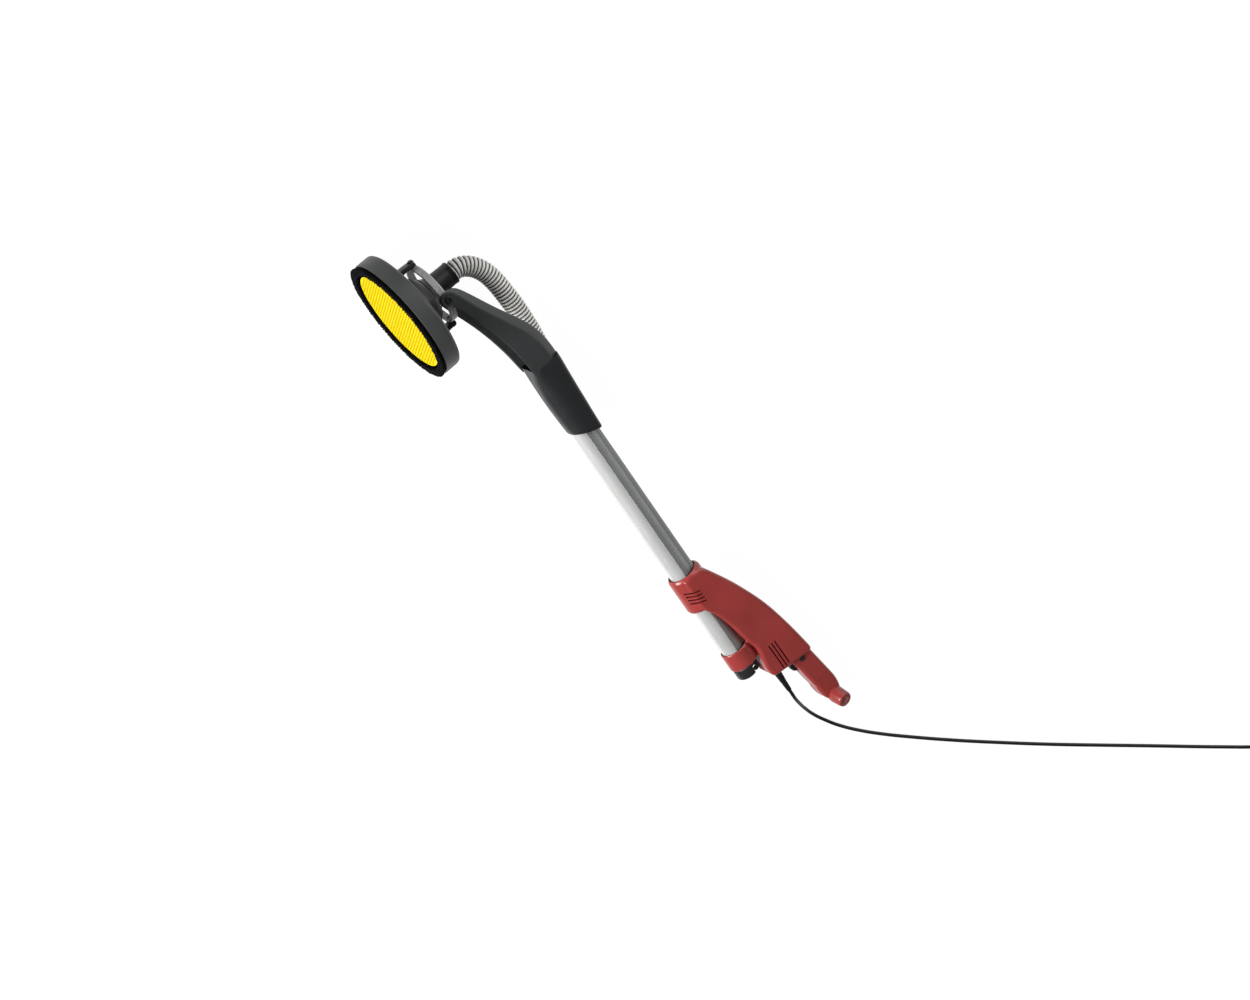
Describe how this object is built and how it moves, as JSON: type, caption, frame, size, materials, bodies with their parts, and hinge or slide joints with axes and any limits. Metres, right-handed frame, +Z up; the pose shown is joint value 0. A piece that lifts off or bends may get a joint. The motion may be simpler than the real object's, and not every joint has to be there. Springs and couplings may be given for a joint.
{
  "type": "pole drywall sander",
  "caption": "Long-reach wall and ceiling sander: gimballed round sanding head with brush hood, fork, corrugated suction hose, profiled pole, offset motor housing with grip, and mains lead.",
  "frame": {"origin": "on the floor that the tool lies on, below the middle of the tool's box without its mains lead", "axes": "+X along the pole from the sanding head to the grip, +Z up from the floor, +Y away from the abrasive face"},
  "size_m": [2.1908, 1.2424, 0.2598],
  "materials": {
    "abrasive": "coated abrasive mesh, matt, yellow",
    "foam": "closed-cell foam, matt",
    "black_plastic": "moulded nylon, satin",
    "charcoal_plastic": "moulded glass-filled nylon, satin",
    "grey_plastic": "moulded, satin grey",
    "bristle": "nylon bristles, matt black",
    "rubber": "soft rubber, matt black",
    "hose_plastic": "corrugated flexible plastic, warm grey",
    "red_plastic": "moulded nylon, fine texture, dark red",
    "cast_metal": "die-cast, satin",
    "aluminium": "extruded, brushed lengthwise",
    "brass": "turned",
    "copper": "varnished copper",
    "steel": "machined or zinc-plated",
    "lamination": "stacked laminations"
  },
  "bodies": {
    "frame": {"fork_arm_right": "charcoal_plastic", "fork_arm_left": "charcoal_plastic", "pitch_screw_right": "steel", "pitch_screw_left": "steel", "neck_shell_right": "black_plastic", "neck_shell_left": "black_plastic", "neck_saddle_right": "cast_metal", "neck_saddle_left": "cast_metal", "suction_hose": "hose_plastic", "duct_elbow": "black_plastic", "flex_shaft": "rubber", "pole_tube": "aluminium", "end_socket": "charcoal_plastic", "housing_right": "red_plastic", "housing_left": "red_plastic", "stator": "lamination", "front_bearing": "steel", "rear_bearing": "steel", "carbon_brush_right": "lamination", "carbon_brush_left": "lamination", "control_module": "black_plastic", "switch_body": "black_plastic", "end_knob": "red_plastic", "strain_relief": "rubber", "mains_lead": "rubber", "lead_coil": "rubber", "lead_tie": "black_plastic", "mains_lead_end": "rubber", "plug": "rubber"},
    "gimbal": {"gimbal_ring": "cast_metal"},
    "head": {"dust_hood": "charcoal_plastic", "suction_dome": "grey_plastic", "suction_sleeve": "rubber", "flex_ferrule": "brass", "gearbox_case": "cast_metal", "gearbox_lid": "cast_metal", "spindle_bearing": "steel", "roll_bracket_front": "charcoal_plastic", "roll_bracket_rear": "charcoal_plastic", "roll_pin_front": "steel", "roll_pin_rear": "steel", "brush_spring_1": "steel", "brush_spring_2": "steel", "brush_spring_3": "steel"},
    "brush": {"brush_carrier": "black_plastic", "bristle_ring": "bristle"},
    "pad": {"abrasive_disc": "abrasive", "pad_foam": "foam", "pad_plate": "black_plastic", "pad_screw": "steel", "spindle": "steel", "spindle_gear": "steel"},
    "drive_pinion": {"pinion": "steel"},
    "rotor": {"rotor_shaft": "steel", "shaft_coupling": "steel", "fan": "black_plastic", "rotor_stack": "copper", "commutator": "copper"},
    "trigger": {"trigger": "black_plastic"},
    "lock_button": {"lock_button": "black_plastic"}
  },
  "joints": [
    {"name": "head_pitch", "type": "hinge", "parent": "frame", "child": "gimbal", "pos_m": [-0.6017, -0.03989, 0.09405], "axis": [-0.035, 0.4888, 0.8717], "range_deg": [-60, 26], "deforming": ["suction_hose", "flex_shaft"]},
    {"name": "head_roll", "type": "hinge", "parent": "gimbal", "child": "head", "pos_m": [-0.6017, -0.03989, 0.09405], "axis": [0.9992, 0, 0.0401], "range_deg": [-15, 15], "deforming": ["suction_hose", "flex_shaft"]},
    {"name": "brush_float", "type": "slide", "parent": "head", "child": "brush", "axis": [0.0196, 0.8724, -0.4884], "range_m": [0, 0.0055], "stiffness_N_per_m": 700, "springref_m": -0.006, "deforming": ["brush_spring_1", "brush_spring_2", "brush_spring_3"]},
    {"name": "pad_spin", "type": "hinge", "parent": "head", "child": "pad", "pos_m": [-0.60332, -0.1123, 0.13459], "axis": [0.0196, 0.8724, -0.4884], "continuous": true},
    {"name": "pinion_spin", "type": "hinge", "parent": "head", "child": "drive_pinion", "pos_m": [-0.57231, -0.06606, 0.10991], "axis": [0.0196, 0.8724, -0.4884], "continuous": true},
    {"name": "rotor_spin", "type": "hinge", "parent": "frame", "child": "rotor", "pos_m": [0.3254, 0.08661, 0.06036], "axis": [0.9814, 0.1814, -0.0623], "continuous": true},
    {"name": "trigger_press", "type": "slide", "parent": "frame", "child": "trigger", "axis": [0.0196, 0.8724, -0.4884], "range_m": [0, 0.004], "stiffness_N_per_m": 900, "springref_m": -0.003},
    {"name": "lock_press", "type": "slide", "parent": "frame", "child": "lock_button", "axis": [0.035, -0.4888, -0.8717], "range_m": [0, 0.0024], "stiffness_N_per_m": 900, "springref_m": -0.002}
  ],
  "couplings": [
    {"joint": "pinion_spin", "follows": "pad_spin", "ratio": -4},
    {"joint": "rotor_spin", "follows": "pad_spin", "ratio": -4}
  ]
}
